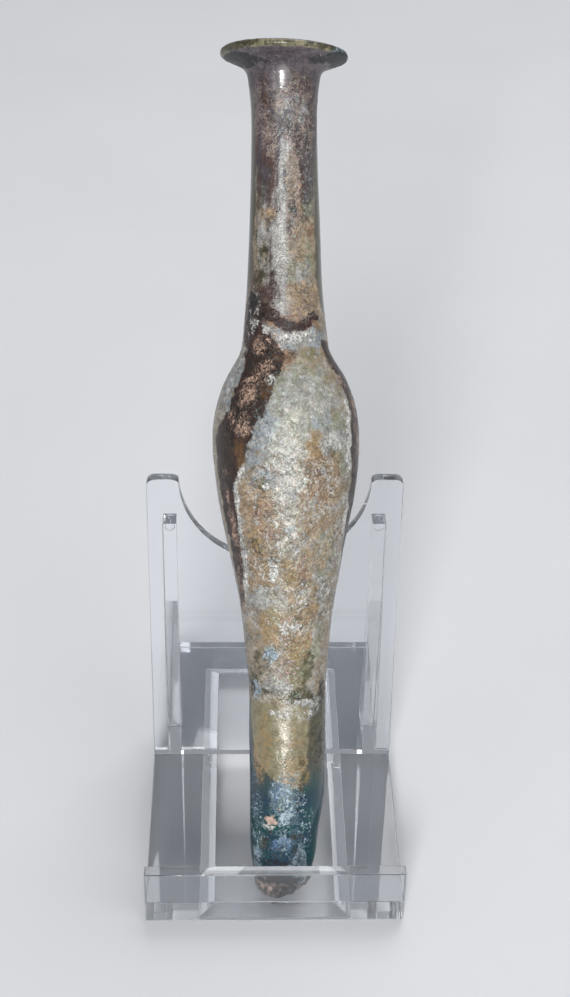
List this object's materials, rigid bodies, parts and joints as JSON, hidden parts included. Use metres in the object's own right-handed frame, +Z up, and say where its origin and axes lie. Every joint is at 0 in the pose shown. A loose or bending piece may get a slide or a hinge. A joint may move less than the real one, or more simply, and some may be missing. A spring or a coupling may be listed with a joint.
{
  "type": "glass unguentarium on a clear easel",
  "caption": "Long-necked, spindle-shaped ancient glass scent bottle with a weathered crust, leaning in a clear two-piece display easel.",
  "frame": {"origin": "bottom centre of the bounding box, on the surface that the easel stands on", "axes": "+Z up; +X to the right of someone facing the easel's front lip; +Y from the lip towards the back, the way the bottle leans"},
  "size_m": [0.062, 0.1134, 0.1861],
  "materials": {
    "weathered_glass": "iridescent weathering crust over teal glass",
    "clear_plastic": "clear polished styrene"
  },
  "bodies": {
    "root": {"unguentarium": "weathered_glass", "easel_base": "clear_plastic", "easel_back": "clear_plastic"}
  },
  "joints": []
}
